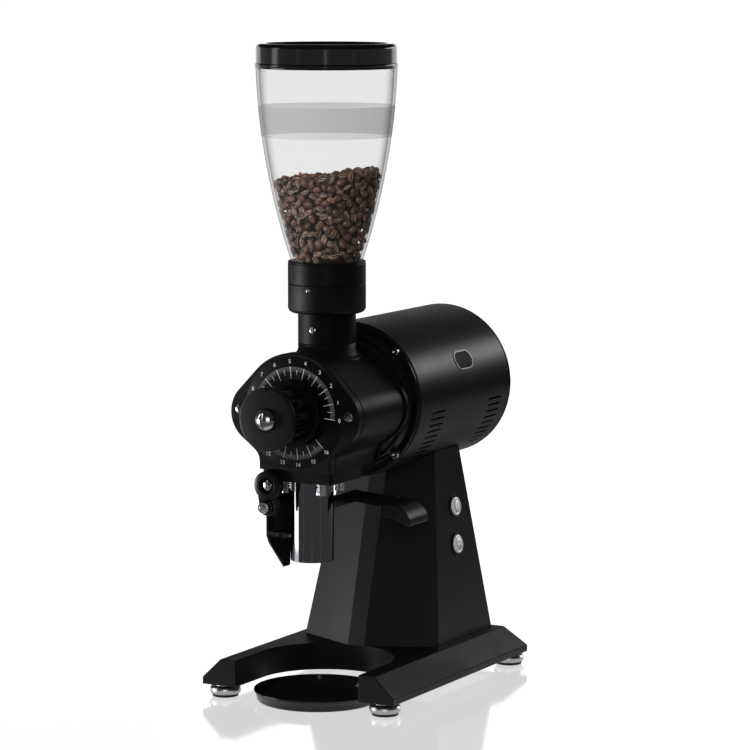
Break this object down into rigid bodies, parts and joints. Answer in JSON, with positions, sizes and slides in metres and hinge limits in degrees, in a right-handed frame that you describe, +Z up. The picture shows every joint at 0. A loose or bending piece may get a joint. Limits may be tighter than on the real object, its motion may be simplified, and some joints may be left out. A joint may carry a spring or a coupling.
{
  "type": "burr coffee grinder",
  "caption": "Free-standing shop coffee grinder: tapered column, horizontal motor, burr head with numbered dial, clear hopper, outlet tube with lever bag clamp.",
  "frame": {"origin": "on the floor under the four feet, at the centre of the machine's overall footprint", "axes": "+Z up, the dial and outlet face -Y, +X is the side with the push buttons"},
  "size_m": [0.235, 0.4152, 0.706],
  "materials": {
    "black_anodised": "satin anodised",
    "black_cast_aluminium": "cast, black powder coat",
    "black_gloss_enamel": "gloss",
    "black_plastic": "gloss",
    "black_powder_coat": "satin",
    "cast_aluminium": "cast",
    "chrome": "polished",
    "clear_hopper": "clear moulded plastic",
    "copper_winding": "enamelled wire",
    "cream_plastic": "moulded",
    "dark_steel": "polished, smoked",
    "dial_face": "black with white scale",
    "matte_black_plastic": "fine grain",
    "motor_paint": "satin",
    "roasted_bean": "roasted coffee",
    "steel": "machined"
  },
  "bodies": {
    "frame": {"base_frame": "black_cast_aluminium", "base_bottom_plate": "steel", "levelling_feet": "chrome", "column_shell": "black_powder_coat", "column_rear_cover": "black_powder_coat", "cable_inlet": "matte_black_plastic", "motor_shell": "motor_paint", "motor_end_cap": "motor_paint", "motor_front_bell": "black_cast_aluminium", "bell_screws": "chrome", "stator_core": "steel", "stator_windings": "copper_winding", "rear_bearing_shield": "cast_aluminium", "front_bearing": "steel", "rear_bearing": "steel", "run_capacitor": "cream_plastic", "contactor": "matte_black_plastic", "grinder_housing": "black_cast_aluminium", "front_cover": "black_cast_aluminium", "cover_screws": "chrome", "dial_plate": "dial_face", "fixed_burr": "steel", "outlet_flange": "black_cast_aluminium", "outlet_tube": "dark_steel", "outlet_thumb_screws": "chrome", "neck_adapter": "black_anodised", "neck_screws": "chrome", "collar_sleeve": "black_anodised", "gate_disc": "steel", "motor_badge": "chrome", "button_bezels": "black_plastic", "switch_bodies": "matte_black_plastic", "clamp_pivot_bolt": "chrome", "clamp_spring": "steel"},
    "adjuster": {"thrust_bearing": "steel"},
    "knob": {"adjusting_spindle": "steel", "index_wheel": "black_anodised", "fluted_grip": "black_plastic", "knob_disc": "black_anodised", "dome_nut": "chrome", "pointer": "chrome"},
    "rotor": {"motor_shaft": "steel", "rotor_core": "cast_aluminium", "cooling_fan": "matte_black_plastic", "burr_carrier": "steel", "rotating_burr": "steel", "feed_auger": "steel"},
    "start_button": {"start_button": "chrome"},
    "stop_button": {"stop_button": "chrome"},
    "clamp": {"clamp_hub": "black_powder_coat", "clamp_plate": "black_powder_coat", "clamp_strap": "black_powder_coat", "side_paddle": "black_powder_coat", "striker_stud": "chrome", "clamp_thumb_screw": "chrome"},
    "dish": {"catch_dish": "black_gloss_enamel"},
    "hopper_unit": {"shutoff_ring": "black_gloss_enamel", "hopper": "clear_hopper", "coffee_beans": "roasted_bean"},
    "lid": {"hopper_lid": "black_plastic"}
  },
  "joints": [
    {"name": "burr_gap_slide", "type": "slide", "parent": "frame", "child": "adjuster", "axis": [0, -1, 0], "range_m": [-0.00033, 0.001]},
    {"name": "grind_adjust", "type": "hinge", "parent": "adjuster", "child": "knob", "pos_m": [0, -0.16, 0.3182], "axis": [0, -1, 0], "range_deg": [-80, 240]},
    {"name": "rotor_spin", "type": "hinge", "parent": "adjuster", "child": "rotor", "pos_m": [0, 0, 0.3182], "axis": [0, -1, 0], "continuous": true},
    {"name": "start_press", "type": "slide", "parent": "frame", "child": "start_button", "axis": [-0.9912, 0, -0.1326], "range_m": [0, 0.003], "stiffness_N_per_m": 400, "springref_m": -0.001},
    {"name": "stop_press", "type": "slide", "parent": "frame", "child": "stop_button", "axis": [-0.9912, 0, -0.1326], "range_m": [0, 0.003], "stiffness_N_per_m": 400, "springref_m": -0.001},
    {"name": "clamp_lever", "type": "hinge", "parent": "frame", "child": "clamp", "pos_m": [-0.031, -0.14, 0.239], "axis": [0, 1, 0], "range_deg": [0, 12], "stiffness_Nm_per_rad": 2, "springref_deg": -11.46, "deforming": ["clamp_spring"]},
    {"name": "dish_pull", "type": "slide", "parent": "frame", "child": "dish", "axis": [0, -1, 0], "range_m": [0, 0.12]},
    {"name": "hopper_turn", "type": "hinge", "parent": "frame", "child": "hopper_unit", "pos_m": [0, -0.068, 0.46], "axis": [0, 0, 1], "range_deg": [0, 90]},
    {"name": "lid_lift", "type": "slide", "parent": "hopper_unit", "child": "lid", "axis": [0, 0, 1], "range_m": [0, 0.08]}
  ],
  "couplings": [
    {"joint": "grind_adjust", "follows": "burr_gap_slide", "rad_per_m": 4188.7}
  ]
}
